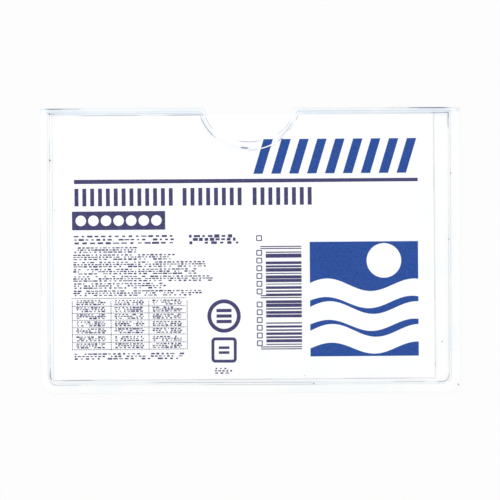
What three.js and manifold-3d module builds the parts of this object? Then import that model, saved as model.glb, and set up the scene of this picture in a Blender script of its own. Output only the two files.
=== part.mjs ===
/*
 * A small magnetic document pocket, lying on its magnetic back with its mouth towards +Y.
 *
 * The back is a rubber magnet sheet with a white vinyl facing. A clear soft vinyl film is welded to the
 * facing along the left, bottom and right, by one narrow line pressed in with a hot frame-shaped tool. The
 * tool's fourth side runs along the mouth and round the thumb notch, where it presses a border line in the
 * front film alone. A loose card lies in the pocket, and lifts the film a little inside the welds.
 *
 * Millimetres, +X right, +Y towards the mouth, +Z out of the front. The origin is the middle of the back face.
 */
import * as THREE from "three";
import { mergeVertices } from "three/addons/utils/BufferGeometryUtils.js";
import Module from "manifold-3d";

// The case, die-cut through all its sheets at once
const caseWidth = 103;
const caseHeight = 70;
const bottomCornerRadius = 3;
const topCornerRadius = 0.5;

// The thumb notch in the mouth
const notchHalfWidth = 10.6;
const notchDepth = 8.2;
const notchCornerRadius = 0.8;
const notchX = -0.32;

// The sheets, from the back
const magnetThickness = 0.8;
const facingThickness = 0.2;
const filmThickness = 0.3;
const cardThickness = 0.3;
const cardHeadroom = 0.1;

// The line that the hot tool presses: a weld on three sides, and a border line along the mouth
const weldWidth = 0.6;
const weldDepth = 0.12;
const weldSideInset = 2.27;
const weldBottomInset = 2.37;
const weldCornerRadius = 2;
const mouthLineInset = 1.06;
const notchLineMargin = 1.62;
const notchLineDrop = 1.89;
const toolShiftX = -0.31;
const notchLineShiftX = 0.12;

// The pocket inside the welds: the film leaves the facing just inside the weld and rises over the card
const pocketLand = 0.05;
const innerRise = 0.15;
const outerFoot = 0.02;
const outerRise = 0.4;

// The loose card, leaning a little to the left in its pocket
const cardSideSlack = 3.96;
const cardTopSlack = 2.18;
const cardLeftGap = 0.61;
const cardBottomGap = 0.62;
const cardTilt = 0.2;

// How finely round outlines and rounded edges are faceted
const arcSegments = 5;
const notchSegments = 14;
const riseSegments = 3;

// How far a shape that cuts or bounds another runs past it
const cutOverrun = 5;

// Heights worked out from the sheets
const facingBottom = magnetThickness;
const filmBottom = magnetThickness + facingThickness;
const pocketRoof = filmBottom + cardThickness + cardHeadroom;
const marginTop = filmBottom + filmThickness;
const panelTop = pocketRoof + filmThickness;

// Edges worked out from the case
const leftEdge = -caseWidth / 2;
const rightEdge = caseWidth / 2;
const bottomEdge = -caseHeight / 2;
const mouthEdge = caseHeight / 2;

const wasm = await Module();
wasm.setup();

/** A shape drawn with true arcs, turned into one with a point wherever its faceted edge bends. */
function faceted(shape, segments) {
  const points = shape.getPoints(segments);
  const closeEnough = 1e-6;
  const apart = points.filter((point, i) => point.distanceTo(points[(i + 1) % points.length]) > closeEnough);
  return new THREE.Shape(apart);
}

/** A straight-sided sheet of a shape, from one height up to another. */
function sheet(shape, bottom, top) {
  const geometry = new THREE.ExtrudeGeometry(shape, { depth: top - bottom, bevelEnabled: false });
  return geometry.translate(0, 0, bottom);
}

/** A raised block with a flat top of the given shape, whose rounded sides spread outwards as they come down. */
function raisedBlock(shape, bottom, foot, top, spread) {
  const rise = top - foot;
  const geometry = new THREE.ExtrudeGeometry(shape, {
    depth: foot - bottom,
    bevelThickness: rise,
    bevelSize: spread,
    bevelSegments: riseSegments,
  });
  return geometry.translate(0, 0, bottom);
}

/** A closed geometry as a solid that can be joined and cut. */
function solid(geometry) {
  const plain = geometry.clone();
  plain.deleteAttribute("normal");
  plain.deleteAttribute("uv");
  const merged = mergeVertices(plain);
  return new wasm.Manifold(
    new wasm.Mesh({
      numProp: 3,
      vertProperties: new Float32Array(merged.attributes.position.array),
      triVerts: new Uint32Array(merged.index.array),
    }),
  );
}

/** A solid as a geometry that a mesh can hold. */
function geometryOf(body) {
  const mesh = body.getMesh();
  const geometry = new THREE.BufferGeometry();
  geometry.setAttribute("position", new THREE.BufferAttribute(mesh.vertProperties, 3));
  geometry.setIndex(new THREE.BufferAttribute(mesh.triVerts, 1));
  const flat = geometry.toNonIndexed();
  flat.computeVertexNormals();
  return flat;
}

/**
 * The mouth from right to left at a height, with the thumb notch in it; the path goes on from its last point. The
 * notch's arc is half an ellipse where its centre is level with its two small corners, and else part of a circle.
 */
function followMouth(path, level, notch) {
  const cornerLevel = level - notchCornerRadius;
  const lift = notch.centre - cornerLevel;
  const cornerOffset = Math.sqrt((notch.halfWidth + notchCornerRadius) ** 2 - lift ** 2);
  const meeting = Math.atan2(-lift, cornerOffset);
  const sweep = Math.PI + 2 * meeting;
  path.lineTo(notch.x + cornerOffset, level);
  path.absarc(notch.x + cornerOffset, cornerLevel, notchCornerRadius, Math.PI / 2, Math.PI + meeting, false);
  for (let step = 1; step <= notchSegments; step++) {
    const angle = meeting - (sweep * step) / notchSegments;
    path.lineTo(notch.x + notch.halfWidth * Math.cos(angle), notch.centre + notch.depth * Math.sin(angle));
  }
  path.absarc(notch.x - cornerOffset, cornerLevel, notchCornerRadius, -meeting, Math.PI / 2, false);
}

/** The outline that all the sheets are cut to, with round corners and the thumb notch. */
function caseOutline() {
  const outline = new THREE.Shape();
  outline.moveTo(leftEdge + bottomCornerRadius, bottomEdge);
  outline.absarc(rightEdge - bottomCornerRadius, bottomEdge + bottomCornerRadius, bottomCornerRadius,
    -Math.PI / 2, 0, false);
  outline.absarc(rightEdge - topCornerRadius, mouthEdge - topCornerRadius, topCornerRadius, 0, Math.PI / 2, false);
  followMouth(outline, mouthEdge, {
    x: notchX,
    centre: mouthEdge - notchCornerRadius,
    halfWidth: notchHalfWidth,
    depth: notchDepth - notchCornerRadius,
  });
  outline.absarc(leftEdge + topCornerRadius, mouthEdge - topCornerRadius, topCornerRadius, Math.PI / 2, Math.PI, false);
  outline.absarc(leftEdge + bottomCornerRadius, bottomEdge + bottomCornerRadius, bottomCornerRadius,
    Math.PI, 1.5 * Math.PI, false);
  return faceted(outline, arcSegments);
}

/** The straight sides and corner radius of the tool's frame, a distance inwards from the pressed line's middle. */
function toolFrame(inwards) {
  return {
    left: leftEdge + weldSideInset + toolShiftX + inwards,
    right: rightEdge - weldSideInset + toolShiftX - inwards,
    bottom: bottomEdge + weldBottomInset + inwards,
    radius: weldCornerRadius - inwards,
  };
}

/** The left, bottom and right of the tool's frame, as a shape whose last side is drawn by followTop. */
function framed(frame, level, followTop) {
  const { left, right, bottom, radius } = frame;
  const shape = new THREE.Shape();
  shape.moveTo(left + radius, bottom);
  shape.absarc(right - radius, bottom + radius, radius, -Math.PI / 2, 0, false);
  shape.lineTo(right, level);
  followTop(shape);
  shape.lineTo(left, level);
  shape.absarc(left + radius, bottom + radius, radius, Math.PI, 1.5 * Math.PI, false);
  return faceted(shape, arcSegments);
}

/** One border of the pressed line, a distance inwards from the line's own middle, or outwards if negative. */
function lineBorder(inwards) {
  const level = mouthEdge - mouthLineInset - inwards;
  const halfWidth = notchHalfWidth + notchLineMargin;
  const depth = notchDepth + notchLineDrop;
  const radius = (halfWidth ** 2 + depth ** 2) / (2 * depth);
  return framed(toolFrame(inwards), level, (shape) =>
    followMouth(shape, level, {
      x: notchX + notchLineShiftX,
      centre: mouthEdge - depth + radius,
      halfWidth: radius + inwards,
      depth: radius + inwards,
    }),
  );
}

/** The pocket's outline a distance inside the weld, running out past the mouth. */
function pocketOutline(insideWeld) {
  return framed(toolFrame(weldWidth / 2 + insideWeld), mouthEdge + cutOverrun, () => {});
}

/** The clear front: flat margins, a panel raised over the card, the pocket under it and the pressed line. */
function frontFilm(outline) {
  const below = filmBottom - cutOverrun;
  const above = panelTop + cutOverrun;
  const panel = raisedBlock(pocketOutline(outerFoot + outerRise), below, marginTop, panelTop, outerRise);
  const formed = solid(sheet(outline, below, marginTop)).add(solid(panel));
  const pocket = raisedBlock(pocketOutline(pocketLand + innerRise), below, filmBottom, pocketRoof, innerRise);
  const line = lineBorder(-weldWidth / 2);
  line.holes.push(lineBorder(weldWidth / 2));
  const pressed = solid(sheet(line, filmBottom, above)).subtract(formed.translate([0, 0, -weldDepth]));
  const cutOut = solid(sheet(outline, filmBottom, above));
  return geometryOf(formed.intersect(cutOut).subtract(solid(pocket)).subtract(pressed));
}

/** The loose card, placed from the pocket's corner and turned by its tilt about its own middle. */
function insertCard() {
  const pocket = toolFrame(weldWidth / 2 + pocketLand);
  const cardWidth = pocket.right - pocket.left - cardSideSlack;
  const cardHeight = mouthEdge - pocket.bottom - cardTopSlack;
  const middle = new THREE.Vector2(
    pocket.left + cardLeftGap + cardWidth / 2,
    pocket.bottom + cardBottomGap + cardHeight / 2,
  );
  const corners = [[-1, -1], [1, -1], [1, 1], [-1, 1]].map(([x, y]) => {
    const corner = new THREE.Vector2((x * cardWidth) / 2, (y * cardHeight) / 2).add(middle);
    return corner.rotateAround(middle, THREE.MathUtils.degToRad(cardTilt));
  });
  return sheet(new THREE.Shape(corners), filmBottom, filmBottom + cardThickness);
}

const outline = caseOutline();
const pocketCase = new THREE.Group();

/** Adds one named piece with its own material to the case. */
function addPiece(name, geometry, finish) {
  const piece = new THREE.Mesh(geometry, new THREE.MeshStandardMaterial(finish));
  piece.name = name;
  pocketCase.add(piece);
}

addPiece("magnet_sheet", sheet(outline, 0, facingBottom), { color: 0x2e2926, roughness: 0.75, metalness: 0 });
addPiece("backing_film", sheet(outline, facingBottom, filmBottom), { color: 0xf6f8f8, roughness: 0.45, metalness: 0 });
addPiece("front_film", frontFilm(outline), {
  color: 0xeef6fb,
  roughness: 0.12,
  metalness: 0,
  transparent: true,
  opacity: 0.25,
});
addPiece("insert_card", insertCard(), { color: 0xfdfdfd, roughness: 0.7, metalness: 0 });

export default pocketCase;
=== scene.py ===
import math

import bpy
from mathutils import Matrix, Vector, noise
from mathutils.geometry import delaunay_2d_cdt


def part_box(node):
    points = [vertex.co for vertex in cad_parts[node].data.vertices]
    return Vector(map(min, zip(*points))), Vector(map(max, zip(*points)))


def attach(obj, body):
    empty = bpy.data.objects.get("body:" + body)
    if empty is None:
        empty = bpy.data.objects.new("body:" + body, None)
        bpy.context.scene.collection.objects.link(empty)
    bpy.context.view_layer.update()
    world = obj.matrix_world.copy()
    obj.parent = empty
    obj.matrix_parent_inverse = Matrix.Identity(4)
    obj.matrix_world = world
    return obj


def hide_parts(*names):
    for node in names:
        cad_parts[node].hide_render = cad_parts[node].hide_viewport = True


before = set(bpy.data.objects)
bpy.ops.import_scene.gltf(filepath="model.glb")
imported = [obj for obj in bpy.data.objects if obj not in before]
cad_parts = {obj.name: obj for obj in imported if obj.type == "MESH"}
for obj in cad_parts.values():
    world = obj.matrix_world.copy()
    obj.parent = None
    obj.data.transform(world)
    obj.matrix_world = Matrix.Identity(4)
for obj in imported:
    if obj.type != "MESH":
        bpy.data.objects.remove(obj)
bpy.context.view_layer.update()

# The magnet sheet is strontium ferrite powder in a rubber binder, calendered to an even thickness. It is
# the whole back of the case. The case's outline, with its thumb notch, is die-cut through all the sheets
# at once.
MM = 0.001
magnet_low, magnet_high = (Vector(corner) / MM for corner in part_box("magnet_sheet"))
LEFT, RIGHT = magnet_low.x, magnet_high.x
BOTTOM, MOUTH = magnet_low.y, magnet_high.y

FOOT_RADIUS = 3.0
TOP_RADIUS = 0.5
NOTCH_HALF_WIDTH = 10.6
NOTCH_DEPTH = 8.2
NOTCH_CORNER = 0.8
NOTCH_X = -0.32
MAGNET_EDGE_ROUND = 0.08

# Every outline has these numbers of steps, so that any two of them have points to match.
BOTTOM_STEPS = 170
SIDE_STEPS = 120
MOUTH_STEPS = 72
CORNER_STEPS = 9
NOTCH_STEPS = 80

# Sheets that touch on the real case are drawn this far apart, so that neither shows through the other.
HAIR_GAP = 0.006

# A rounded edge has one ring of points between its two ends, this share of its radius from both faces.
ROUND_SHARE = 0.3


def arc(centre_x, centre_y, radius_x, radius_y, first, last, steps):
    """Points along an elliptical arc between two angles in degrees, without its last one."""
    points = []
    for step in range(steps):
        angle = math.radians(first + (last - first) * step / steps)
        points.append((centre_x + radius_x * math.cos(angle), centre_y + radius_y * math.sin(angle)))
    return points


def straight(x0, y0, x1, y1, steps):
    """Points along a straight edge, without its last one."""
    return [(x0 + (x1 - x0) * k / steps, y0 + (y1 - y0) * k / steps) for k in range(steps)]


def notched_loop(left, right, bottom, top, foot, corner, notch):
    """An anticlockwise loop with round corners and a thumb notch in its top edge."""
    notch_x, centre, half_width, depth, notch_corner = notch
    shoulder = top - notch_corner
    lift = centre - shoulder
    reach = math.sqrt((half_width + notch_corner) ** 2 - lift ** 2)
    meeting = math.degrees(math.atan2(-lift, reach))
    loop = straight(left + foot, bottom, right - foot, bottom, BOTTOM_STEPS)
    loop += arc(right - foot, bottom + foot, foot, foot, -90, 0, CORNER_STEPS)
    loop += straight(right, bottom + foot, right, top - corner, SIDE_STEPS)
    loop += arc(right - corner, top - corner, corner, corner, 0, 90, CORNER_STEPS)
    loop += straight(right - corner, top, notch_x + reach, top, MOUTH_STEPS)
    loop += arc(notch_x + reach, shoulder, notch_corner, notch_corner, 90, 180 + meeting, CORNER_STEPS)
    loop += arc(notch_x, centre, half_width, depth, meeting, -180 - meeting, NOTCH_STEPS)
    loop += arc(notch_x - reach, shoulder, notch_corner, notch_corner, -meeting, 90, CORNER_STEPS)
    loop += straight(notch_x - reach, top, left + corner, top, MOUTH_STEPS)
    loop += arc(left + corner, top - corner, corner, corner, 90, 180, CORNER_STEPS)
    loop += straight(left, top - corner, left, bottom + foot, SIDE_STEPS)
    loop += arc(left + foot, bottom + foot, foot, foot, 180, 270, CORNER_STEPS)
    return loop


def cut_outline(inset):
    """The die-cut outline, a distance inside the cut. The notch is half an ellipse between small corners."""
    notch = (NOTCH_X, MOUTH - NOTCH_CORNER, NOTCH_HALF_WIDTH + inset, NOTCH_DEPTH - NOTCH_CORNER + inset,
             NOTCH_CORNER - inset)
    return notched_loop(LEFT + inset, RIGHT - inset, BOTTOM + inset, MOUTH - inset, FOOT_RADIUS - inset,
                        TOP_RADIUS - inset, notch)


def filled(loop, grid=()):
    """Triangles that fill a loop, through the loose points of grid where there are any."""
    points = [Vector(point) for point in loop] + [Vector(point) for point in grid]
    result = delaunay_2d_cdt(points, [], [list(range(len(loop)))], 1, 1e-7)
    return result[0], result[2], result[3]


def in_scene(name, data):
    """A new object in the scene from its mesh, lamp or camera."""
    made = bpy.data.objects.new(name, data)
    bpy.context.scene.collection.objects.link(made)
    return made


class Skin:
    """Collects rings of points and the faces between them, each with its material's place in the list."""

    def __init__(self):
        self.points = []
        self.faces = []
        self.finishes = []
        self.shades = {}

    def ring(self, loop, height):
        """Adds a loop at a height, a number or a function of x and y, and returns its points' numbers."""
        first = len(self.points)
        for x, y in loop:
            z = height(x, y) if callable(height) else height
            self.points.append((x * MM, y * MM, z * MM))
        return list(range(first, len(self.points)))

    def band(self, outer, inner, finish=0):
        """Joins two rings with as many points by a band of quads."""
        for k in range(len(outer)):
            n = (k + 1) % len(outer)
            self.faces.append((outer[k], outer[n], inner[n], inner[k]))
            self.finishes.append(finish)

    def lid(self, ring, loop, height, grid=(), upward=True, finish=0):
        """Fills a ring, through the points of grid where there are any."""
        corners, triangles, origins = filled(loop, grid)
        numbers = []
        for place, sources in zip(corners, origins):
            known = [source for source in sources if source < len(loop)]
            if known:
                numbers.append(ring[known[0]])
            else:
                numbers += self.ring([(place.x, place.y)], height)
        for triangle in triangles:
            face = [numbers[corner] for corner in triangle]
            self.faces.append(tuple(face if upward else reversed(face)))
            self.finishes.append(finish)

    def slab(self, loop, bottom, top):
        """Adds a closed flat block over a loop, between two heights."""
        low = self.ring(loop, bottom)
        high = self.ring(loop, top)
        self.band(low, high)
        self.lid(low, loop, bottom, upward=False)
        self.lid(high, loop, top)

    def piece(self, name, materials, sharp=35):
        """The finished mesh as an object, smooth but for the edges that are sharper than an angle."""
        mesh = bpy.data.meshes.new(name)
        mesh.from_pydata(self.points, [], self.faces)
        for material in materials:
            mesh.materials.append(material)
        mesh.polygons.foreach_set("material_index", self.finishes)
        mesh.polygons.foreach_set("use_smooth", [True] * len(self.faces))
        mesh.set_sharp_from_angle(angle=math.radians(sharp))
        if self.shades:
            shades = mesh.attributes.new("edge_shade", "FLOAT", "POINT")
            shades.data.foreach_set("value", [self.shades.get(k, 0.0) for k in range(len(self.points))])
        mesh.update()
        return in_scene(name, mesh)


def cut_sheet(name, bottom, top, rounding, materials):
    """A flat sheet cut to the case's outline, with its cut edges a little rounded."""
    skin = Skin()
    tight = rounding * ROUND_SHARE
    inner_loop = cut_outline(rounding)
    under = skin.ring(inner_loop, bottom)
    steps = [under]
    sides = ((tight, bottom + tight), (0, bottom + rounding), (0, top - rounding), (tight, top - tight))
    for inset, height in sides:
        steps.append(skin.ring(cut_outline(inset), height))
    over = skin.ring(inner_loop, top)
    steps.append(over)
    for lower, upper in zip(steps, steps[1:]):
        skin.band(lower, upper)
    skin.lid(under, inner_loop, bottom, upward=False)
    skin.lid(over, inner_loop, top)
    return skin.piece(name, materials)


def colour(hexadecimal):
    """An sRGB hex colour as the linear colour that a shader takes."""
    parts = [int(hexadecimal[k:k + 2], 16) / 255 for k in (1, 3, 5)]
    linear = [part / 12.92 if part <= 0.04045 else ((part + 0.055) / 1.055) ** 2.4 for part in parts]
    return (*linear, 1.0)


def scale_for(size):
    """The scale of a noise pattern whose grains have a size in millimetres."""
    return 1 / (size * MM)


def add(tree, kind, inputs=None, **settings):
    """Adds a node with its settings, and feeds its inputs from values or from other nodes' outputs."""
    made = tree.nodes.new(kind)
    for name, value in settings.items():
        setattr(made, name, value)
    for socket, value in (inputs or {}).items():
        if isinstance(value, bpy.types.NodeSocket):
            tree.links.new(value, made.inputs[socket])
        else:
            made.inputs[socket].default_value = value
    return made


MIX_FACTOR, MIX_A, MIX_B, MIX_RESULT = 0, 6, 7, 2


def new_material(name):
    """An empty material and its node tree."""
    material = bpy.data.materials.new(name)
    material.use_nodes = True
    material.node_tree.nodes.clear()
    return material, material.node_tree


def set_surface(tree, shader):
    """Makes a shader the surface of its tree's material."""
    add(tree, "ShaderNodeOutputMaterial", {"Surface": shader.outputs[0]})


# Ferrite rubber is a matt brown-black with a fine powdery grain. Calender rolls leave it faintly streaked
# along its length, and handling leaves paler rubs. The powder itself is far finer than the grain here,
# which is drawn as coarse as it needs to show.
FERRITE_GRAIN = 0.192
STREAK_LENGTH = 71.4
STREAK_WIDTH = 1.61
RUB_SIZE = 14.3
FERRITE_RELIEF = 0.06
ferrite, tree = new_material("calendered_ferrite_rubber")
place = add(tree, "ShaderNodeTexCoord").outputs["Object"]
grain = add(tree, "ShaderNodeTexNoise", {"Vector": place, "Scale": scale_for(FERRITE_GRAIN), "Detail": 3})
streak_scale = (scale_for(STREAK_LENGTH), scale_for(STREAK_WIDTH), 1)
streak_place = add(tree, "ShaderNodeMapping", {"Vector": place, "Scale": streak_scale}).outputs["Vector"]
streak = add(tree, "ShaderNodeTexNoise", {"Vector": streak_place, "Scale": 1, "Detail": 4})
rub = add(tree, "ShaderNodeTexNoise", {
    "Vector": place, "Scale": scale_for(RUB_SIZE), "Detail": 5, "Roughness": 0.65})
relief = add(tree, "ShaderNodeMath", {0: grain.outputs["Fac"], 1: streak.outputs["Fac"]}, operation="ADD")
mixed = add(tree, "ShaderNodeMath", {0: relief.outputs[0], 1: rub.outputs["Fac"]}, operation="ADD")
tone = add(tree, "ShaderNodeMapRange", {"Value": mixed.outputs[0], "From Min": 1.1, "From Max": 1.9})
shade = add(tree, "ShaderNodeMix", {
    MIX_FACTOR: tone.outputs[0], MIX_A: colour("#211d1b"), MIX_B: colour("#3d3733")}, data_type="RGBA")
dull = add(tree, "ShaderNodeMapRange", {"Value": rub.outputs["Fac"], "To Min": 0.62, "To Max": 0.84})
bump = add(tree, "ShaderNodeBump", {
    "Height": relief.outputs[0], "Strength": 0.35, "Distance": FERRITE_RELIEF * MM})
surface = add(tree, "ShaderNodeBsdfPrincipled", {
    "Base Color": shade.outputs[MIX_RESULT], "Roughness": dull.outputs[0], "Normal": bump.outputs[0]})
set_surface(tree, surface)

magnet = cut_sheet("magnet_back", magnet_low.z, magnet_high.z - HAIR_GAP, MAGNET_EDGE_ROUND, [ferrite])
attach(magnet, "root")
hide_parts("magnet_sheet")

# The facing is white plasticised vinyl film bonded to the magnet sheet. It is the pocket's back wall, and
# it gives the clear margins their white ground.
facing_low, facing_high = (Vector(corner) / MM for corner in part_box("backing_film"))
FACING_EDGE_ROUND = 0.02

# Pigmented vinyl is an even, very slightly warm white with a satin sheen. A faint leathery grain breaks up
# that sheen, and soft clouds in it keep it from looking like paper.
CLOUD_SIZE = 8.33
LEATHER_GRAIN = 0.385
LEATHER_RELIEF = 0.03
white_vinyl, tree = new_material("white_plasticised_vinyl")
place = add(tree, "ShaderNodeTexCoord").outputs["Object"]
cloud = add(tree, "ShaderNodeTexNoise", {"Vector": place, "Scale": scale_for(CLOUD_SIZE), "Detail": 3})
shade = add(tree, "ShaderNodeMix", {
    MIX_FACTOR: cloud.outputs["Fac"], MIX_A: colour("#fbfcfa"), MIX_B: colour("#fdfdfb")}, data_type="RGBA")
leather = add(tree, "ShaderNodeTexNoise", {"Vector": place, "Scale": scale_for(LEATHER_GRAIN), "Detail": 2})
bump = add(tree, "ShaderNodeBump", {
    "Height": leather.outputs["Fac"], "Strength": 0.2, "Distance": LEATHER_RELIEF * MM})
dull = add(tree, "ShaderNodeMapRange", {"Value": cloud.outputs["Fac"], "To Min": 0.42, "To Max": 0.55})
surface = add(tree, "ShaderNodeBsdfPrincipled", {
    "Base Color": shade.outputs[MIX_RESULT], "Roughness": dull.outputs[0], "Normal": bump.outputs[0]})
set_surface(tree, surface)

facing = cut_sheet("white_facing", facing_low.z, facing_high.z - HAIR_GAP, FACING_EDGE_ROUND, [white_vinyl])
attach(facing, "root")
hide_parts("backing_film")

# The loose card is guillotined from coated white board. Its printed face is very smooth, and its cut edges
# are broken a little by the blade. It stands in the pocket and leans by a fraction of a degree.
card_low, card_high = (Vector(corner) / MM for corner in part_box("insert_card"))
card_middle = (card_low + card_high) / 2
CARD_TILT = math.radians(0.2)
CARD_WIDTH = 93.8
CARD_HEIGHT = 65.1
EDGE_BREAK = 0.16
CARD_STEPS = 80

# Painted reflection and painted shade on the card's cut edge, where it looks darkest because it mirrors dark
# parts of the room and lies in shade under the film: each stretch's middle, its reach along X and along Y,
# and its depth. A stretch fades out over a share of its reach.
PAINTED_CARD_EDGE_DARK = (
    (-42.4, -31.8, 5.2, 1, 0.68), (-4, -31.7, 15, 1, 0.36), (31.3, -31.6, 12, 1, 0.44),
    (45.3, 17.3, 1, 5, 0.36), (45.3, -9.8, 1, 4, 0.32), (45.4, -27.9, 1, 0.6, 0.6),
    (-34.5, 33.4, 10, 1, 0.6), (-16, 33.5, 6, 1, 0.76), (-48.5, 0, 1, 60, 0.3), (45.3, 0, 1, 60, 0.2),
    (-1.6, -31.7, 90, 1, 0.2), (-31, 33.4, 21, 1, 0.2), (30, 33.6, 20, 1, 0.2),
)
STRETCH_FADE = 0.45


def on_card(across, up):
    """A place on the card, from its lower left corner, as x and y in the case's own millimetres."""
    local = Vector((across - CARD_WIDTH / 2, up - CARD_HEIGHT / 2))
    local.rotate(Matrix.Rotation(CARD_TILT, 2))
    return local.x + card_middle.x, local.y + card_middle.y


def card_outline(inset):
    """The card's outline in short steps, a little way inside its cut."""
    right, top = CARD_WIDTH - inset, CARD_HEIGHT - inset
    corners = [(inset, inset), (right, inset), (right, top), (inset, top)]
    outline = []
    for (x0, y0), (x1, y1) in zip(corners, corners[1:] + corners[:1]):
        outline += [on_card(*point) for point in straight(x0, y0, x1, y1, CARD_STEPS)]
    return outline


def eased(share):
    """A smooth step from 0 to 1."""
    share = min(max(share, 0), 1)
    return share * share * (3 - 2 * share)


def shade_edge(skin, ring, loop, stretches):
    """Notes each point's painted darkness, or painted glint if below 0, from the strongest stretch."""
    for number, (x, y) in zip(ring, loop):
        strongest = 0.0
        for middle_x, middle_y, reach_x, reach_y, depth in stretches:
            away = math.hypot((x - middle_x) / reach_x, (y - middle_y) / reach_y)
            here = depth * eased((1 - away) / STRETCH_FADE)
            if abs(here) > abs(strongest):
                strongest = here
        skin.shades[number] = strongest


# Coated board is the whitest part of all, and matt: its clay coat scatters light evenly. Only a trace of
# the fibre under the coat shows.
FIBRE_SIZE = 1.11
FIBRE_RELIEF = 0.02
board, tree = new_material("coated_white_board")
place = add(tree, "ShaderNodeTexCoord").outputs["Object"]
fibre = add(tree, "ShaderNodeTexNoise", {"Vector": place, "Scale": scale_for(FIBRE_SIZE), "Detail": 4})
shade = add(tree, "ShaderNodeMix", {
    MIX_FACTOR: fibre.outputs["Fac"], MIX_A: colour("#fdfdfc"), MIX_B: colour("#ffffff")}, data_type="RGBA")
bump = add(tree, "ShaderNodeBump", {
    "Height": fibre.outputs["Fac"], "Strength": 0.12, "Distance": FIBRE_RELIEF * MM})
surface = add(tree, "ShaderNodeBsdfPrincipled", {
    "Base Color": shade.outputs[MIX_RESULT], "Roughness": 0.62, "Normal": bump.outputs[0]})
set_surface(tree, surface)

# The guillotined edge is bare bleached pulp, rougher and a shade less white than the coat. Under the film
# it shows as a thin line, with painted shade and a painted dark blue reflection in its dark stretches.
PULP_SIZE = 6.25
cut_board, tree = new_material("guillotined_board_edge")
place = add(tree, "ShaderNodeTexCoord").outputs["Object"]
pulp = add(tree, "ShaderNodeTexNoise", {"Vector": place, "Scale": scale_for(PULP_SIZE), "Detail": 5})
pulp_shade = add(tree, "ShaderNodeMix", {
    MIX_FACTOR: pulp.outputs["Fac"], MIX_A: colour("#f6f8f9"), MIX_B: colour("#fcfdfd")}, data_type="RGBA")
# Painted shade and painted reflection: the edge's stretches turn its colour towards a dark blue.
painted_edge_dark = add(tree, "ShaderNodeAttribute", attribute_name="edge_shade").outputs["Fac"]
shade = add(tree, "ShaderNodeMix", {
    MIX_FACTOR: painted_edge_dark, MIX_A: pulp_shade.outputs[MIX_RESULT], MIX_B: colour("#2b407c")}, data_type="RGBA")
surface = add(tree, "ShaderNodeBsdfPrincipled", {"Base Color": shade.outputs[MIX_RESULT], "Roughness": 0.85})
set_surface(tree, surface)

COATED_FACE, CUT_FACE = range(2)
skin = Skin()
under = skin.ring(card_outline(0), card_low.z)
side = skin.ring(card_outline(0), card_high.z - EDGE_BREAK / 2)
over = skin.ring(card_outline(EDGE_BREAK), card_high.z)
shade_edge(skin, side, card_outline(0), PAINTED_CARD_EDGE_DARK)
shade_edge(skin, over, card_outline(EDGE_BREAK), PAINTED_CARD_EDGE_DARK)
skin.band(under, side, CUT_FACE)
skin.band(side, over, CUT_FACE)
skin.faces += [tuple(reversed(under)), tuple(over)]
skin.finishes += [COATED_FACE, COATED_FACE]
card = skin.piece("card_board", [board, cut_board])
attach(card, "root")
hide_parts("insert_card")

# The print is offset ink in a slate violet and a blue. Each colour is a skin of ink a few hundredths of a
# millimetre deep here, so that it is a closed shape. A mark left bare in a field of ink is drawn as white
# board just above the ink.
INK_TOP = card_high.z + 0.012
INK_BOTTOM = card_high.z - 0.01
BARE_TOP = INK_TOP + 0.006

# The print sits this far off its true place on the card.
PRINT_OFF_ACROSS = 0.12
PRINT_OFF_UP = 0.37

# Offset ink is flat and nearly matt. Close up it is a little mottled, where the coat took it up unevenly.
MOTTLE_SIZE = 0.667


def ink_material(name, pale, deep):
    """Offset ink, or bare board beside it, between a pale and a deep tint."""
    ink, tree = new_material(name)
    place = add(tree, "ShaderNodeTexCoord").outputs["Object"]
    mottle = add(tree, "ShaderNodeTexNoise", {"Vector": place, "Scale": scale_for(MOTTLE_SIZE), "Detail": 3})
    spread = add(tree, "ShaderNodeMapRange", {
        "Value": mottle.outputs["Fac"], "From Min": 0.3, "From Max": 0.7})
    shade = add(tree, "ShaderNodeMix", {
        MIX_FACTOR: spread.outputs[0], MIX_A: colour(deep), MIX_B: colour(pale)}, data_type="RGBA")
    surface = add(tree, "ShaderNodeBsdfPrincipled", {
        "Base Color": shade.outputs[MIX_RESULT], "Roughness": 0.6, "Specular IOR Level": 0.1})
    set_surface(tree, surface)
    return ink


slate_ink = ink_material("slate_offset_ink", "#4a4876", "#383662")
blue_ink = ink_material("blue_offset_ink", "#244f9e", "#194390")
bare_board = ink_material("board_left_bare", "#ffffff", "#fbfbfb")


def on_print(across, up):
    """A place in the print as x and y."""
    return on_card(across + PRINT_OFF_ACROSS, up + PRINT_OFF_UP)


def flat_block(outline, top=INK_TOP):
    """A closed flat block of ink, from the places of its corners in the print."""
    block_skin = Skin()
    block_skin.slab([on_print(across, up) for across, up in outline], INK_BOTTOM, top)
    return block_skin.points, block_skin.faces


def box_outline(left, bottom, right, top):
    """The corners of an upright rectangle in the print."""
    return [(left, bottom), (right, bottom), (right, top), (left, top)]


# Rows of marks come from one tree: blocks of uneven width and height along a line, with a gap now and then.
BOOLEAN_OUT = 3
ROW_INPUTS = {
    "Int": ("Marks", "Seed"),
    "Float": ("Pitch", "Narrowest", "Widest", "Shortest", "Tallest", "Depth", "Gaps"),
    "Material": ("Ink",),
}
row_tree = bpy.data.node_groups.new("row_of_print_marks", "GeometryNodeTree")
row_tree.interface.new_socket("Geometry", in_out="OUTPUT", socket_type="NodeSocketGeometry")
row_socket = {
    name: row_tree.interface.new_socket(name, in_out="INPUT", socket_type="NodeSocket" + kind).identifier
    for kind, names in ROW_INPUTS.items() for name in names
}
given = row_tree.nodes.new("NodeGroupInput").outputs
step = add(row_tree, "ShaderNodeCombineXYZ", {"X": given["Pitch"]})
line = add(row_tree, "GeometryNodeMeshLine", {"Count": given["Marks"], "Offset": step.outputs[0]})
block = add(row_tree, "GeometryNodeMeshCube", {"Size": (1, 1, 1)})
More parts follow.
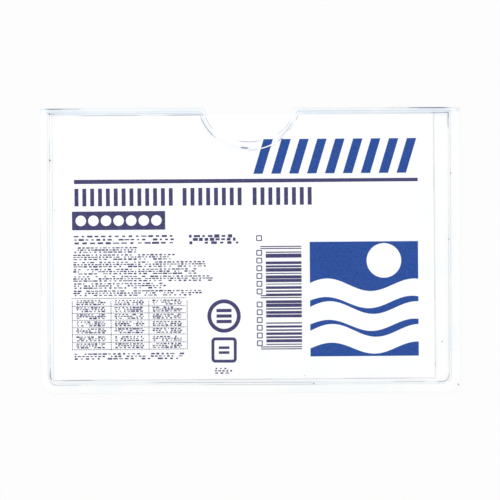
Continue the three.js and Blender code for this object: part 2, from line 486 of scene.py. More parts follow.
least = add(row_tree, "ShaderNodeCombineXYZ", {
    "X": given["Narrowest"], "Y": given["Shortest"], "Z": given["Depth"]})
most = add(row_tree, "ShaderNodeCombineXYZ", {
    "X": given["Widest"], "Y": given["Tallest"], "Z": given["Depth"]})
size = add(row_tree, "FunctionNodeRandomValue", {
    "Min": least.outputs[0], "Max": most.outputs[0], "Seed": given["Seed"]}, data_type="FLOAT_VECTOR")
skipped = add(row_tree, "FunctionNodeRandomValue", {
    "Probability": given["Gaps"], "Seed": given["Seed"]}, data_type="BOOLEAN")
kept = add(row_tree, "FunctionNodeBooleanMath", {0: skipped.outputs[BOOLEAN_OUT]}, operation="NOT")
placed = add(row_tree, "GeometryNodeInstanceOnPoints", {
    "Points": line.outputs["Mesh"], "Selection": kept.outputs[0], "Instance": block.outputs["Mesh"],
    "Scale": size.outputs["Value"]})
realised = add(row_tree, "GeometryNodeRealizeInstances", {"Geometry": placed.outputs["Instances"]})
inked = add(row_tree, "GeometryNodeSetMaterial", {"Geometry": realised.outputs[0], "Material": given["Ink"]})
row_tree.links.new(inked.outputs[0], row_tree.nodes.new("NodeGroupOutput").inputs["Geometry"])

QUARTER_TURN = math.radians(90)


def mark_row(across, up, marks, pitch, width, height, gaps=0.0, seed=1, turned=0.0):
    """A row of slate marks from its first mark's middle. Width and height are each a least and a most."""
    carrier = in_scene("row_of_marks", bpy.data.meshes.new("row_of_marks"))
    modifier = carrier.modifiers.new("row", "NODES")
    modifier.node_group = row_tree
    depth = (INK_TOP - INK_BOTTOM) * MM
    settings = {
        "Marks": marks, "Pitch": pitch * MM, "Narrowest": width[0] * MM, "Widest": width[1] * MM,
        "Shortest": height[0] * MM, "Tallest": height[1] * MM, "Depth": depth, "Gaps": gaps, "Seed": seed,
        "Ink": slate_ink,
    }
    for name, value in settings.items():
        modifier[row_socket[name]] = value
    evaluated = carrier.evaluated_get(bpy.context.evaluated_depsgraph_get())
    mesh = bpy.data.meshes.new_from_object(evaluated)
    x, y = on_print(across, up)
    middle = Vector((x * MM, y * MM, (INK_TOP + INK_BOTTOM) / 2 * MM))
    mesh.transform(Matrix.Translation(middle) @ Matrix.Rotation(CARD_TILT + turned, 4, "Z"))
    points = [tuple(vertex.co) for vertex in mesh.vertices]
    faces = [tuple(polygon.vertices) for polygon in mesh.polygons]
    bpy.data.objects.remove(carrier)
    bpy.data.meshes.remove(mesh)
    return points, faces


def printed(name, parts, ink):
    """Joins the marks of one ink into a piece that rides with the card."""
    points = []
    faces = []
    for part_points, part_faces in parts:
        first = len(points)
        points += part_points
        faces += [tuple(first + corner for corner in face) for face in part_faces]
    mesh = bpy.data.meshes.new(name)
    mesh.from_pydata(points, [], faces)
    mesh.materials.append(ink)
    mesh.update()
    piece = in_scene(name, mesh)
    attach(piece, "root")


# The slate print is one forme of offset ink: a long rule, runs of upright bars, a filled label with bare
# discs, rows of small marks, a ruled table, two ring marks, and a block of stripes with small squares.
# Its places are millimetres across and up from the card's lower left corner.
RULE = ((5.25, 47.92), (89.65, 48.0), (89.65, 48.83), (5.25, 48.95))
slate = [flat_block(RULE)]

# Where each run of upright bars starts, and its number of bars.
BAR_RUNS = ((5.35, 13), (31.9, 8), (49.1, 8))
BAR_PITCH = 1.93
BAR_WIDTH = 0.97
BAR_FOOT, BAR_HEAD = 42.43, 46.76
BAR_HEIGHT = BAR_HEAD - BAR_FOOT
for run_left, bars in BAR_RUNS:
    slate.append(mark_row(run_left + BAR_WIDTH / 2, (BAR_FOOT + BAR_HEAD) / 2, bars, BAR_PITCH,
                          (BAR_WIDTH, BAR_WIDTH), (BAR_HEIGHT, BAR_HEIGHT)))

# The outer discs' middles lie this share of a pitch from the label's ends.
DISC_MARGIN = 0.7
LABEL_LEFT, LABEL_BOTTOM, LABEL_RIGHT, LABEL_TOP = 4.7, 36.57, 27.58, 41.15
LABEL_DISCS = 7
DISC_RADIUS = 1.3
DISC_SEGMENTS = 28
slate.append(flat_block(box_outline(LABEL_LEFT, LABEL_BOTTOM, LABEL_RIGHT, LABEL_TOP)))
label_bare = []
disc_pitch = (LABEL_RIGHT - LABEL_LEFT) / (LABEL_DISCS - 1 + 2 * DISC_MARGIN)
for disc in range(LABEL_DISCS):
    disc_across = LABEL_LEFT + (disc + DISC_MARGIN) * disc_pitch
    disc_up = (LABEL_BOTTOM + LABEL_TOP) / 2
    label_bare.append(flat_block(
        arc(disc_across, disc_up, DISC_RADIUS, DISC_RADIUS, 0, 360, DISC_SEGMENTS), BARE_TOP))

# A row of small marks is three broken rules, one above the other: how high each lies and how far apart its
# marks are, as shares of the row's height. Widths are shares of that pitch, and heights of the row's.
TIERS = ((0.87, 0.74), (0.5, 0.62), (0.13, 0.86))
TIER_SEED_STEP = 40
NARROW, WIDE = 0.3, 0.95
SHORT, TALL = 0.14, 0.28
SMALL_GAPS = 0.1


def small_row(across, up, length, height, seed, weight=1.0):
    """A row of small marks, from its lower left. Weight makes its marks taller."""
    parts = []
    for tier, (level, spacing) in enumerate(TIERS):
        pitch = height * spacing
        parts.append(mark_row(
            across + pitch / 2, up + height * level, int(length / pitch), pitch,
            (pitch * NARROW, pitch * WIDE), (height * SHORT * weight, height * TALL * weight),
            SMALL_GAPS, seed + TIER_SEED_STEP * tier))
    return parts


# The foot and length of each row of the body.
BODY_LINES = (
    (30.97, 16.4), (29.2, 25.5), (27.4, 33.6), (25.65, 31.0), (23.9, 34.6), (22.15, 23.0), (20.35, 31.8),
)
BODY_LEFT = 4.85
BODY_HEIGHT = 1.42
BODY_SEED = 11
slate += small_row(BODY_LEFT, 33.05, length=25.3, height=2.25, seed=3, weight=0.85)
slate += small_row(32.9, 33.0, length=13.4, height=2.2, seed=5, weight=1.35)
for number, (line_foot, length) in enumerate(BODY_LINES):
    slate += small_row(BODY_LEFT, line_foot, length, BODY_HEIGHT, BODY_SEED + number)

# The table's rules are dotted. Each of its columns of small marks has a left end and a length.
TABLE_LEFT, TABLE_RIGHT = 4.6, 32.8
TABLE_UPRIGHTS = (TABLE_LEFT, 14.1, 23.4, TABLE_RIGHT)
TABLE_LEVELS = (7.25, 8.98, 10.93, 12.65, 14.44, 16.16, 17.88, 19.8)
TABLE_COLUMNS = ((5.5, 7.7), (14.9, 7.9), (24.2, 7.9))
DOT_PITCH = 0.42
DOT_LENGTH = (0.27, 0.29)
DOT_WIDTH = (0.17, 0.19)
CELL_RISE = 0.3
CELL_HEIGHT = 1.2
CELL_WEIGHT = 1.2
CELL_SEED = 60
level_dots = int((TABLE_RIGHT - TABLE_LEFT) / DOT_PITCH)
upright_dots = int((TABLE_LEVELS[-1] - TABLE_LEVELS[0]) / DOT_PITCH)
for level in TABLE_LEVELS:
    slate.append(mark_row(TABLE_LEFT, level, level_dots, DOT_PITCH, DOT_LENGTH, DOT_WIDTH))
for upright in TABLE_UPRIGHTS:
    slate.append(mark_row(upright, TABLE_LEVELS[0], upright_dots, DOT_PITCH, DOT_LENGTH, DOT_WIDTH,
                          turned=QUARTER_TURN))
cell_seed = CELL_SEED
for level in TABLE_LEVELS[:-1]:
    for column_left, length in TABLE_COLUMNS:
        slate += small_row(column_left, level + CELL_RISE, length, CELL_HEIGHT, cell_seed, CELL_WEIGHT)
        cell_seed += 1
slate += small_row(4.8, 4.75, length=27.3, height=1.6, seed=31)

RING_SEGMENTS = 40
ROUND_OFF_SEGMENTS = 6


def ring_parts(middle_across, middle_up, outer, inner, corner=None):
    """A closed ring of ink, round, or square with round corners, from its outer and inner half width."""
    def outline(half):
        if corner is None:
            return arc(middle_across, middle_up, half, half, 0, 360, RING_SEGMENTS)
        round_off = corner - (outer - half)
        points = []
        for turn, (side, level) in enumerate(((1, 1), (-1, 1), (-1, -1), (1, -1))):
            points += arc(middle_across + side * (half - round_off), middle_up + level * (half - round_off),
                          round_off, round_off, turn * 90, turn * 90 + 90, ROUND_OFF_SEGMENTS)
        return points
    ring_skin = Skin()
    outside = [on_print(*point) for point in outline(outer)]
    inside = [on_print(*point) for point in outline(inner)]
    loops = [ring_skin.ring(outside, INK_BOTTOM), ring_skin.ring(outside, INK_TOP),
             ring_skin.ring(inside, INK_TOP), ring_skin.ring(inside, INK_BOTTOM)]
    for k in range(4):
        ring_skin.band(loops[k], loops[(k + 1) % 4])
    return ring_skin.points, ring_skin.faces


# The two ring marks, and the level bars inside each: the left and right ends of the bars, the foot of the
# lowest, their height, their pitch and their number.
slate.append(ring_parts(41.85, 15.25, outer=4.1, inner=3.15))
slate.append(ring_parts(41.8, 6.9, outer=3.12, inner=2.38, corner=1.0))
RING_BARS = ((40.0, 43.7, 13.5, 0.8, 1.35, 3), (40.5, 43.1, 5.95, 0.65, 1.2, 2))
for bars_left, bars_right, lowest, bar_height, bar_pitch, bars in RING_BARS:
    for bar in range(bars):
        bar_foot = lowest + bar * bar_pitch
        slate.append(flat_block(box_outline(bars_left, bar_foot, bars_right, bar_foot + bar_height)))
slate += small_row(39.3, 1.05, length=5.1, height=1.5, seed=97)

# The block of stripes has three pairs of thin lines across it, which run on to the left, and beside it
# stand runs of small squares: the middle of each run's lowest square, and its number of squares.
STRIPES_LEFT, STRIPES_RIGHT = 52.2, 60.96
STRIPES_FOOT = 8.2
STRIPES = 27
STRIPE_PITCH = 0.87
STRIPE_WIDTH = (0.2, 1.0)
STRIPE_GAPS = 0.12
STRIPE_SEED = 8
PAIR_FEET = (6.95, 19.55, 31.6)
PAIR_OVERHANG = 1.3
PAIR_LINE = 0.25
PAIR_PITCH = 0.5
SQUARE_RUNS = ((8.5, 6), (21.2, 6), (34.3, 1))
SQUARE_ACROSS = 50.6
SQUARE_PITCH = 1.9
stripe_length = STRIPES_RIGHT - STRIPES_LEFT
slate.append(mark_row((STRIPES_LEFT + STRIPES_RIGHT) / 2, STRIPES_FOOT, STRIPES, STRIPE_PITCH, STRIPE_WIDTH,
                      (stripe_length, stripe_length), STRIPE_GAPS, STRIPE_SEED, QUARTER_TURN))
for pair_foot in PAIR_FEET:
    for line_foot in (pair_foot, pair_foot + PAIR_PITCH):
        slate.append(flat_block(box_outline(
            STRIPES_LEFT - PAIR_OVERHANG, line_foot, STRIPES_RIGHT, line_foot + PAIR_LINE)))
for run_foot, squares in SQUARE_RUNS:
    for square in range(squares):
        slate.append(ring_parts(
            SQUARE_ACROSS, run_foot + square * SQUARE_PITCH, outer=0.72, inner=0.47, corner=0.27))
printed("slate_print", slate, slate_ink)
printed("label_marks", label_bare, bare_board)

# The blue print is the second forme: a band of slanted bars at the head of the card, and a picture field
# with a sun over waves, which are left bare.
BAND_LEFT, BAND_RIGHT, BAND_BOTTOM, BAND_TOP = 49.3, 89.5, 50.1, 58.6
SLANT_BARS = 9
SLANT_LEAN = 2.6
SLANT_BAR_SHARE = 0.52
LAST_BAR_SHARE = 0.55
blue = []
slant_pitch = (BAND_RIGHT - BAND_LEFT - SLANT_LEAN) / (SLANT_BARS - 1 + LAST_BAR_SHARE)
slant_width = slant_pitch * SLANT_BAR_SHARE
for bar in range(SLANT_BARS):
    foot = BAND_LEFT + bar * slant_pitch
    blue.append(flat_block([
        (foot, BAND_BOTTOM), (foot + slant_width, BAND_BOTTOM),
        (foot + slant_width + SLANT_LEAN, BAND_TOP), (foot + SLANT_LEAN, BAND_TOP)]))

PICTURE_LEFT, PICTURE_BOTTOM, PICTURE_RIGHT, PICTURE_TOP = 63.0, 5.16, 89.6, 33.3
blue.append(flat_block(box_outline(PICTURE_LEFT, PICTURE_BOTTOM, PICTURE_RIGHT, PICTURE_TOP)))
printed("blue_print", blue, blue_ink)

# Each wave is a bare band. Its middle swings up and down along the picture, and its depth swells a little.
WAVES = 3
WAVE_STEPS = 30
WAVE_FOOT = 9.3
WAVE_PITCH = 5.6
WAVE_SWING = 1.5
WAVE_TURNS = 1.25
WAVE_LEAD = 0.03
WAVE_HALF_DEPTH = 2.15
WAVE_SWELL = 0.15
SUN_ACROSS, SUN_UP = 81.2, 28.6
SUN_RADIUS = 4.25
SUN_SEGMENTS = 48
picture_bare = []
for wave in range(WAVES):
    crest = []
    trough = []
    for k in range(WAVE_STEPS + 1):
        along = k / WAVE_STEPS
        across = PICTURE_LEFT + (PICTURE_RIGHT - PICTURE_LEFT) * along
        swing = WAVE_SWING * math.sin(math.tau * (along * WAVE_TURNS + wave * WAVE_LEAD))
        middle_up = WAVE_FOOT + wave * WAVE_PITCH + swing
        half_depth = WAVE_HALF_DEPTH + WAVE_SWELL * math.sin(math.tau * along)
        crest.append((across, middle_up + half_depth))
        trough.append((across, middle_up - half_depth))
    picture_bare.append(flat_block(trough + crest[::-1], BARE_TOP))
picture_bare.append(flat_block(
    arc(SUN_ACROSS, SUN_UP, SUN_RADIUS, SUN_RADIUS, 0, 360, SUN_SEGMENTS), BARE_TOP))
printed("picture_marks", picture_bare, bare_board)

# The front is clear plasticised vinyl film, welded to the facing along the left, bottom and right. The hot
# tool presses one narrow line all round, with soft beads beside it, and the film rises over the card
# inside the welds.
film_low, film_high = (Vector(corner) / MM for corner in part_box("front_film"))
FILM_THICKNESS = 0.3
FILM_BOTTOM = film_low.z
PANEL_TOP = film_high.z
MARGIN_TOP = FILM_BOTTOM + FILM_THICKNESS
PANEL_RISE = PANEL_TOP - MARGIN_TOP

LINE_SIDE_INSET = 2.27
LINE_BOTTOM_INSET = 2.37
LINE_MOUTH_INSET = 1.06
LINE_CORNER_RADIUS = 2
LEAST_CORNER_RADIUS = 0.2
SQUARE_CORNER_RADIUS = 0.12
LINE_SHIFT_X = -0.31
LINE_HALF_WIDTH = 0.3
LINE_DEPTH = 0.12
LINE_WALL = 0.15
NOTCH_LINE_SHIFT_X = 0.12
NOTCH_LINE_MARGIN = 1.62
NOTCH_LINE_DROP = 1.89

# The film leaves the facing just inside the weld: where its outer and inner face start to rise, and how
# far they take.
OUTER_FOOT = 0.02
OUTER_RUN = 0.4
INNER_FOOT = 0.05
INNER_RUN = 0.15

# The film's slight waves: their length along X and along Y, their layer of the noise and their swing. They
# have their full swing a way inside the weld.
RIPPLES = ((21, 16, 3.7, 0.045), (8, 9, 9.1, 0.018))
RIPPLE_RUN = 9

# Worked out from the sizes above: the pressed line's frame, and its one wide arc round the notch.
line_left = LEFT + LINE_SIDE_INSET + LINE_SHIFT_X
line_right = RIGHT - LINE_SIDE_INSET + LINE_SHIFT_X
line_bottom = BOTTOM + LINE_BOTTOM_INSET
arc_half_width = NOTCH_HALF_WIDTH + NOTCH_LINE_MARGIN
arc_depth = NOTCH_DEPTH + NOTCH_LINE_DROP
arc_radius = (arc_half_width ** 2 + arc_depth ** 2) / (2 * arc_depth)
arc_x = NOTCH_X + NOTCH_LINE_SHIFT_X
arc_y = MOUTH - arc_depth + arc_radius


def line_loop(inwards):
    """The pressed line's own loop, a distance inwards from its middle."""
    notch = (arc_x, arc_y, arc_radius + inwards, arc_radius + inwards, NOTCH_CORNER)
    return notched_loop(
        line_left + inwards, line_right - inwards, line_bottom + inwards, MOUTH - LINE_MOUTH_INSET - inwards,
        max(LINE_CORNER_RADIUS - inwards, LEAST_CORNER_RADIUS), SQUARE_CORNER_RADIUS, notch)


def inside_weld(x, y):
    """How far a point lies inside the weld's inner border, with the mouth's side left open."""
    left = line_left + LINE_HALF_WIDTH
    right = line_right - LINE_HALF_WIDTH
    bottom = line_bottom + LINE_HALF_WIDTH
    radius = LINE_CORNER_RADIUS - LINE_HALF_WIDTH
    beside = abs(x - (left + right) / 2) - ((right - left) / 2 - radius)
    below = bottom + radius - y
    outside = math.hypot(max(beside, 0), max(below, 0)) + min(max(beside, below), 0)
    return radius - outside


def ripple(x, y):
    """The soft film's own slight waves, strongest in the free panel."""
    waves = 0
    for length_x, length_y, layer, swing in RIPPLES:
        waves += swing * noise.noise(Vector((x / length_x, y / length_y, layer)))
    return eased(inside_weld(x, y) / RIPPLE_RUN) * waves


def film_top(x, y):
    """The height of the film's upper face, before anything is pressed in it."""
    return MARGIN_TOP + PANEL_RISE * eased((inside_weld(x, y) - OUTER_FOOT) / OUTER_RUN) + ripple(x, y)


def film_under(x, y):
    """The height of the film's lower face."""
    return FILM_BOTTOM + PANEL_RISE * eased((inside_weld(x, y) - INNER_FOOT) / INNER_RUN) + ripple(x, y)


def lowered(depth):
    """The film's upper face, pressed in by a depth."""
    return lambda x, y: film_top(x, y) - depth


def blended(outer, inner, share):
    """A loop part of the way from one to another that has points to match."""
    return [(a[0] + (b[0] - a[0]) * share, a[1] + (b[1] - a[1]) * share) for a, b in zip(outer, inner)]


# The film's bent and cut edges pick up dark parts of the room in stretches, most of all at the corners, and
# one glints: painted reflections, painted shade and a painted highlight. Each stretch has its middle, its
# reach along X and Y, and its depth, below 0 for the glint.
CUT_STRETCHES = (
    (-47.6, 35, 3.0, 1, 1.0), (-45.5, 35, 5, 1, 0.65), (43.7, 35, 6.2, 1, 1.0), (40, 35, 9, 1, 0.3),
    (-0.2, 26.9, 3.2, 1.5, 0.55), (-9.9, 31.4, 2, 2.2, 0.4), (8.4, 30.3, 3, 3, 0.35),
    (-51.5, -2.8, 1, 11, 0.15), (7, 35, 90, 1, 0.07),
)
LINE_OUTSIDE_STRETCHES = (
    (10.1, 29.9, 2, 2, 0.55), (8.6, 28.1, 1.3, 1.3, 0.4), (-1.35, 25.2, 1.15, 1, 1.0),
    (23.3, 34.2, 18, 1, 0.25), (2.3, -32.9, 18, 1, 0.3), (-45.3, -32.9, 4, 1, 0.3),
    (-47.9, -32.2, 2, 1.6, 0.4), (-49.8, 0, 1, 60, 0.12), (49.2, 0, 1, 60, 0.12),
)
LINE_INSIDE_STRETCHES = (
    (-14, -32.3, 13, 1, 0.5), (4, -32.3, 15, 1, 0.35), (38.9, -32.3, 5, 1, 0.4), (47.6, -31.7, 2.4, 2, 0.65),
    (-49.2, -30.3, 1, 1.9, 0.85), (-49.2, -27, 1, 6, 0.3), (-49.2, 23.4, 1, 5, 0.35),
    (48.6, 31.9, 1, 2.2, 0.8), (48.6, -12, 1, 24, 0.15), (46.6, 33.6, 2.6, 1, 0.8), (-45.4, 33.6, 6, 1, 0.3),
    (-48.5, 33.6, 1.2, 1, 0.8), (-10, 30.5, 3.8, 3.8, 0.85), (7.1, 27.8, 1.2, 1.2, 0.8),
    (11.2, 32.7, 1, 1.1, 0.6), (0.6, 24.7, 1.2, 1, 0.45), (-25, 33.6, 14, 1, 0.15), (23, 33.6, 26, 1, 0.07),
    (-49.2, -4, 1, 60, 0.1), (4, 26.1, 2.6, 2, -1.0),
)
# The deepest ones reach in from the cut edge at the mouth's ends, and down to the pressed line's floor.
MARGIN_STRETCHES = ((-48, 34.9, 1.9, 1, 0.6), (45, 34.9, 4.6, 1, 0.75))
FLOOR_OUTSIDE_STRETCHES = ((-1.35, 25.1, 1.05, 1, 0.8),)
FLOOR_INSIDE_STRETCHES = (
    (-10, 30.5, 3.4, 3.4, 0.12), (7.1, 27.8, 1.2, 1.2, 0.2), (9.9, 30.4, 1, 1, 0.15),
    (48.6, 33.3, 1, 1, 0.4), (-49.1, -30.5, 1, 1.1, 0.4), (46.8, -32.3, 1.6, 1, 0.1),
    (4, 26.1, 2.6, 2, -1.0),
)

# The upper face from the cut edge inwards: each ring's loop, how deep it is pressed in, the finish of the
# band outside it, and its stretches of painted reflection and shade. The margin's painted dark ends at the
# next ring, so it can't run inwards.
CLEAR, PRESSED, WALL, CUT, UNDER = range(5)
CUT_ROUND = 0.08
MARGIN_DARK_INSET = 0.2
MARGIN_DARK_END = 0.24
BEAD_RISE = 0.018
BEAD_TAIL_RISE = 0.0054
BEAD_TAIL_SHARE = 0.6
BEAD_OUTSIDE = 0.1
BEAD_INSIDE = 0.08
FLOOR_CROWN_SHARE = 0.93
edge_loop = cut_outline(CUT_ROUND)
border = line_loop(-LINE_HALF_WIDTH)
floor_outside = line_loop(-LINE_HALF_WIDTH + LINE_WALL)
floor_inside = line_loop(LINE_HALF_WIDTH - LINE_WALL)
upper_rings = [
    (cut_outline(0), CUT_ROUND, CUT, CUT_STRETCHES),
    (cut_outline(CUT_ROUND * ROUND_SHARE), CUT_ROUND * ROUND_SHARE, CUT, CUT_STRETCHES),
    (edge_loop, 0, CUT, CUT_STRETCHES),
    (cut_outline(MARGIN_DARK_INSET), 0, CLEAR, MARGIN_STRETCHES),
    (cut_outline(MARGIN_DARK_END), 0, CLEAR, ()),
    (blended(edge_loop, border, BEAD_TAIL_SHARE), -BEAD_TAIL_RISE, CLEAR, ()),
    (line_loop(-LINE_HALF_WIDTH - BEAD_OUTSIDE), -BEAD_RISE, CLEAR, ()),
    (border, 0, CLEAR, LINE_OUTSIDE_STRETCHES),
    (floor_outside, LINE_DEPTH, WALL, FLOOR_OUTSIDE_STRETCHES),
    (blended(floor_outside, floor_inside, 0.5), LINE_DEPTH * FLOOR_CROWN_SHARE, PRESSED, ()),
    (floor_inside, LINE_DEPTH, PRESSED, FLOOR_INSIDE_STRETCHES),
    (line_loop(LINE_HALF_WIDTH), 0, WALL, LINE_INSIDE_STRETCHES),
    (line_loop(LINE_HALF_WIDTH + BEAD_INSIDE), -BEAD_RISE, CLEAR, ()),
    (line_loop(LINE_HALF_WIDTH + 2 * BEAD_INSIDE), -BEAD_TAIL_RISE, CLEAR, ()),
]

# More rings follow the rise inside the line, closest where it is steepest, and meet a loose grid.
PANEL_INSETS = (0.22, 0.28, 0.34, 0.42, 0.55, 0.8, 1.2, 1.8)
UNDER_INSETS = (0, 0.05, 0.08, 0.11, 0.14, 0.17, 0.2, 0.35, 0.7, 1.8)
PANEL_GRID = 1.6
GRID_CLEARANCE = 0.9
for inwards in PANEL_INSETS:
    upper_rings.append((line_loop(LINE_HALF_WIDTH + inwards), 0, CLEAR, ()))
last_loop = upper_rings[-1][0]
panel_left = min(x for x, _ in last_loop)
panel_right = max(x for x, _ in last_loop)
panel_bottom = min(y for _, y in last_loop)
panel_top = max(y for _, y in last_loop)
notch_reach = arc_radius + LINE_HALF_WIDTH + PANEL_INSETS[-1] + GRID_CLEARANCE
columns = int((panel_right - panel_left) / PANEL_GRID)
rows = int((panel_top - panel_bottom) / PANEL_GRID)
panel_grid = []
for column in range(1, columns):
    for row in range(1, rows):
        grid_x = panel_left + (panel_right - panel_left) * column / columns
        grid_y = panel_bottom + (panel_top - panel_bottom) * row / rows
        if math.hypot(grid_x - arc_x, grid_y - arc_y) > notch_reach:
            panel_grid.append((grid_x, grid_y))

skin = Skin()
rings = []
for loop, depth, finish, stretches in upper_rings:
    rings.append(skin.ring(loop, lowered(depth)))
    shade_edge(skin, rings[-1], loop, stretches)
    if len(rings) > 1:
        skin.band(rings[-2], rings[-1], finish)
skin.lid(rings[-1], last_loop, film_top, panel_grid, finish=CLEAR)
under_loops = [cut_outline(0)] + [line_loop(LINE_HALF_WIDTH + inset) for inset in UNDER_INSETS]
under_rings = [skin.ring(loop, film_under) for loop in under_loops]
skin.band(under_rings[0], rings[0], CUT)
for outer, inner in zip(under_rings, under_rings[1:]):
    skin.band(inner, outer, UNDER)
skin.lid(under_rings[-1], under_loops[-1], film_under, panel_grid, upward=False, finish=UNDER)

# Clear vinyl is a tinted pane with a soft gloss that strengthens edge on. Its tint is in faint patches, and
# it is a little deeper along the mouth as painted shade. Thin film swells slightly, which unsettles its
# reflections.
PATCH_SIZE = 13.3
SWELL_SIZE = 7.14
SWELL_RELIEF = 0.2
MOUTH_SHADE_FROM = 33.2
MOUTH_SHADE_TO = 34.0
SQUARE_ON_GLOSS = 0.015
GLOSS_STEEPNESS = 5.0
GLOSS_COLOUR = (0.95, 0.97, 1.0, 1)
# The colour of the painted reflections of the room's dark parts.
PAINTED_ROOM_REFLECTION = "#1b3479"


def vinyl_material(name, pale, deep, roughness, unevenness):
    """Clear vinyl between a pale and a deep tint, with painted dark reflections and a painted glint in its
    edges' stretches.
    """
    vinyl, tree = new_material(name)
    where = add(tree, "ShaderNodeTexCoord").outputs["Object"]
    up = add(tree, "ShaderNodeSeparateXYZ", {0: where}).outputs["Y"]
    # Painted shade along the mouth: the tint deepens towards it.
    mouth_shade = add(tree, "ShaderNodeMapRange", {
        "Value": up, "From Min": MOUTH_SHADE_FROM * MM, "From Max": MOUTH_SHADE_TO * MM})
    patches = add(tree, "ShaderNodeTexNoise", {
        "Vector": where, "Scale": scale_for(PATCH_SIZE), "Detail": 3})
    patchy = add(tree, "ShaderNodeMapRange", {
        "Value": patches.outputs["Fac"], "From Min": 0.35, "From Max": 0.65, "To Min": -unevenness,
        "To Max": unevenness})
    share = add(tree, "ShaderNodeMath", {
        0: mouth_shade.outputs[0], 1: patchy.outputs[0]}, operation="ADD", use_clamp=True)
    even = add(tree, "ShaderNodeMix", {
        MIX_FACTOR: share.outputs[0], MIX_A: colour(pale), MIX_B: colour(deep)}, data_type="RGBA")
    shaded = add(tree, "ShaderNodeAttribute", attribute_name="edge_shade").outputs["Fac"]
    # The dark stretches are painted reflections and shade, so they cast no shadow on what lies under the
    # film.
    from_lamp = add(tree, "ShaderNodeLightPath").outputs["Is Shadow Ray"]
    seen_share = add(tree, "ShaderNodeMath", {0: 1.0, 1: from_lamp}, operation="SUBTRACT")
    darkening = add(tree, "ShaderNodeMath", {
        0: shaded, 1: seen_share.outputs[0]}, operation="MULTIPLY", use_clamp=True)
    # Painted reflection: the stretches turn the tint towards the dark of the room.
    tint = add(tree, "ShaderNodeMix", {
        MIX_FACTOR: darkening.outputs[0], MIX_A: even.outputs[MIX_RESULT], MIX_B: colour(PAINTED_ROOM_REFLECTION)},
        data_type="RGBA")
    pane = add(tree, "ShaderNodeBsdfTransparent", {"Color": tint.outputs[MIX_RESULT]})
    if roughness is None:
        set_surface(tree, pane)
        return vinyl
    swell = add(tree, "ShaderNodeTexNoise", {
        "Vector": where, "Scale": scale_for(SWELL_SIZE), "Detail": 2})
    swollen = add(tree, "ShaderNodeBump", {
        "Height": swell.outputs["Fac"], "Strength": 0.25, "Distance": SWELL_RELIEF * MM}).outputs[0]
    shine = add(tree, "ShaderNodeBsdfGlossy", {
        "Color": GLOSS_COLOUR, "Roughness": roughness, "Normal": swollen})
    facing_away = add(tree, "ShaderNodeLayerWeight", {"Blend": 0.5, "Normal": swollen})
    steepened = add(tree, "ShaderNodeMath", {
        0: facing_away.outputs["Facing"], 1: GLOSS_STEEPNESS}, operation="POWER")
    edge_on = add(tree, "ShaderNodeMapRange", {
        "Value": steepened.outputs[0], "To Min": SQUARE_ON_GLOSS})
    both = add(tree, "ShaderNodeMixShader", {
        0: edge_on.outputs[0], 1: pane.outputs[0], 2: shine.outputs[0]})
    # A painted highlight: where a stretch is below 0, the film turns to a lit white.
    brightness = add(tree, "ShaderNodeMath", {0: shaded, 1: -1.0}, operation="MULTIPLY",
                     use_clamp=True)
    painted_glint_white = add(tree, "ShaderNodeBsdfDiffuse", {"Color": colour("#ffffff")})
    glinting = add(tree, "ShaderNodeMixShader", {
        0: brightness.outputs[0], 1: both.outputs[0], 2: painted_glint_white.outputs[0]})
    set_surface(tree, glinting)
    return vinyl


# The calendered face is all but colourless. The hot tool leaves its line cloudier and less glossy. The
# line's walls and the die-cut edge look blue-grey, partly because more vinyl is seen through there and
# partly as painted shade, and the inner face has no gloss of its own.
clear_vinyl = vinyl_material("clear_plasticised_vinyl", "#ffffff", "#fcfeff", 0.09, 0.3)
pressed_vinyl = vinyl_material("hot_pressed_vinyl", "#fcfdff", "#f6fafd", 0.16, 0.3)
# The walls' and the cut edge's darker tint is partly painted shade.
wall_vinyl = vinyl_material("pressed_line_wall", "#f3f6f7", "#e6ebf3", 0.2, 0.4)
cut_vinyl = vinyl_material("die_cut_vinyl_edge", "#fafbfc", "#eaeff5", 0.3, 0.35)
under_vinyl = vinyl_material("vinyl_inner_face", "#ffffff", "#fdfeff", None, 0.3)

film = skin.piece(
    "clear_front_film", [clear_vinyl, pressed_vinyl, wall_vinyl, cut_vinyl, under_vinyl], sharp=28)
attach(film, "root")
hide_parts("front_film")

# A few specks of dust lie on the film, as on any soft vinyl that has been handled. They are lint and grit,
# dull and nearly black, and nothing holds them but the film's own cling.
DUST_FLECKS = (
    (-49.2, 22.3, 0.19), (-48.0, 10.1, 0.1), (50.95, -33.05, 0.14), (-49.3, 33.8, 0.13),
    (50.9, 34.35, 0.1), (46.95, -22.5, 0.14), (49.2, 18.8, 0.13), (48.7, 2.6, 0.13), (13.2, -30.8, 0.1),
    (15.4, -32.7, 0.12),
)
DUST_DEPTH = 0.03
DUST_CORNERS = 7
DUST_LOBES = 3
DUST_LOBE_REACH = 0.35
dust_material, tree = new_material("dark_dust")
surface = add(tree, "ShaderNodeBsdfPrincipled", {"Base Color": colour("#2c2b33"), "Roughness": 0.9})
set_surface(tree, surface)
skin = Skin()
for fleck_x, fleck_y, fleck_radius in DUST_FLECKS:
    loop = []
    for corner in range(DUST_CORNERS):
        angle = math.tau * corner / DUST_CORNERS
        reach = fleck_radius * (1 + DUST_LOBE_REACH * math.sin(DUST_LOBES * angle + fleck_x))
        loop.append((fleck_x + reach * math.cos(angle), fleck_y + reach * math.sin(angle)))
    level = film_top(fleck_x, fleck_y)
    skin.slab(loop, level - DUST_DEPTH, level + DUST_DEPTH)
dust = skin.piece("dust_flecks", [dust_material])
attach(dust, "root")

# The stage is a pale table top under even light from all round, with two broad soft lamps to shape the
# edges. The case is seen straight down and square on, as it is laid flat on its magnet.
BACKDROP_WHITE = "#fdfdfd"
FLOOR_WHITENING = 0.97
FLOOR_HALF = 1500
FLOOR_DROP = 0.02
ROOM_LEVEL = 0.76
ROOM_COLOUR = (0.985, 0.99, 1.0, 1)


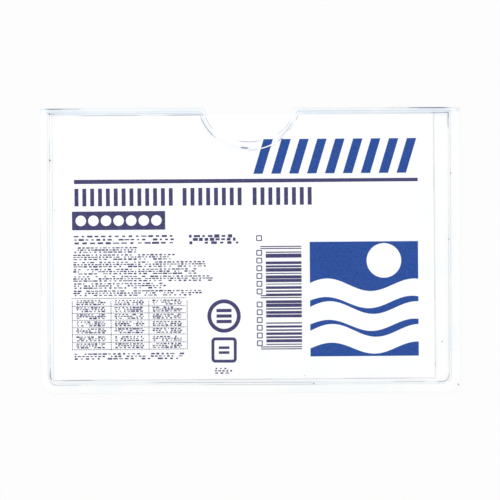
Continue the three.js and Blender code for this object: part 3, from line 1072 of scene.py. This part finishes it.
def backdrop_share(tree):
    """1 for the rays that see the backdrop, straight or by a gloss or a clear film, and else 0."""
    path = add(tree, "ShaderNodeLightPath").outputs
    seen = add(tree, "ShaderNodeMath", {
        0: path["Is Camera Ray"], 1: path["Is Glossy Ray"]}, operation="MAXIMUM")
    seen = add(tree, "ShaderNodeMath", {
        0: seen.outputs[0], 1: path["Is Transmission Ray"]}, operation="MAXIMUM")
    return seen.outputs[0]


# White laminate that glows where it is seen, so that it reads as white, and still takes a soft shadow.
floor_material, tree = new_material("white_table_top")
diffuse = add(tree, "ShaderNodeBsdfDiffuse", {"Color": colour("#fafbfb")})
glow = add(tree, "ShaderNodeEmission", {"Color": colour(BACKDROP_WHITE), "Strength": 1.0})
part = add(tree, "ShaderNodeMath", {0: backdrop_share(tree), 1: FLOOR_WHITENING}, operation="MULTIPLY")
surface = add(tree, "ShaderNodeMixShader", {0: part.outputs[0], 1: diffuse.outputs[0], 2: glow.outputs[0]})
set_surface(tree, surface)
skin = Skin()
skin.faces.append(skin.ring(box_outline(-FLOOR_HALF, -FLOOR_HALF, FLOOR_HALF, FLOOR_HALF), -FLOOR_DROP))
skin.finishes.append(0)
floor = skin.piece("table_top", [floor_material])

world = bpy.data.worlds.new("even_white_room")
bpy.context.scene.world = world
world.use_nodes = True
tree = world.node_tree
tree.nodes.clear()
room = add(tree, "ShaderNodeBackground", {"Color": ROOM_COLOUR, "Strength": ROOM_LEVEL})
backdrop = add(tree, "ShaderNodeBackground", {"Color": colour(BACKDROP_WHITE), "Strength": 1.0})
either = add(tree, "ShaderNodeMixShader", {
    0: backdrop_share(tree), 1: room.outputs[0], 2: backdrop.outputs[0]})
tree.links.new(either.outputs[0], tree.nodes.new("ShaderNodeOutputWorld").inputs["Surface"])


def soft_lamp(name, place_at, width, power):
    """A broad square lamp that faces the case. Its place and width are in metres, its power in watts."""
    lamp = bpy.data.lights.new(name, "AREA")
    lamp.size = width
    lamp.energy = power
    holder = in_scene(name, lamp)
    holder.location = place_at
    holder.rotation_euler = Vector(place_at).to_track_quat("Z", "Y").to_euler()


soft_lamp("lamp_above_left", place_at=(-0.55, 0.45, 0.75), width=0.5, power=3.7)
soft_lamp("lamp_low_right", place_at=(0.7, -0.4, 0.45), width=0.4, power=1.35)

# The camera has the photograph's scale, its small roll, and the case's middle at the photograph's pixel.
PHOTO_PIXELS = 500
PIXELS_PER_MM = 4.073
CASE_MIDDLE_PIXEL = Vector((250.45, 250.5))
CAMERA_ROLL = math.radians(-0.24)
CAMERA_HEIGHT = 600
photo_middle = PHOTO_PIXELS / 2
off_middle = Vector((photo_middle - CASE_MIDDLE_PIXEL.x, CASE_MIDDLE_PIXEL.y - photo_middle)) / PIXELS_PER_MM
off_middle.rotate(Matrix.Rotation(CAMERA_ROLL, 2))
camera_data = bpy.data.cameras.new("camera_straight_down")
camera_data.type = "ORTHO"
camera_data.ortho_scale = PHOTO_PIXELS / PIXELS_PER_MM * MM
camera = in_scene("camera_straight_down", camera_data)
camera.location = (off_middle.x * MM, off_middle.y * MM, CAMERA_HEIGHT * MM)
camera.rotation_euler = (0, 0, CAMERA_ROLL)
bpy.context.scene.camera = camera
bpy.context.scene.view_settings.view_transform = "Standard"
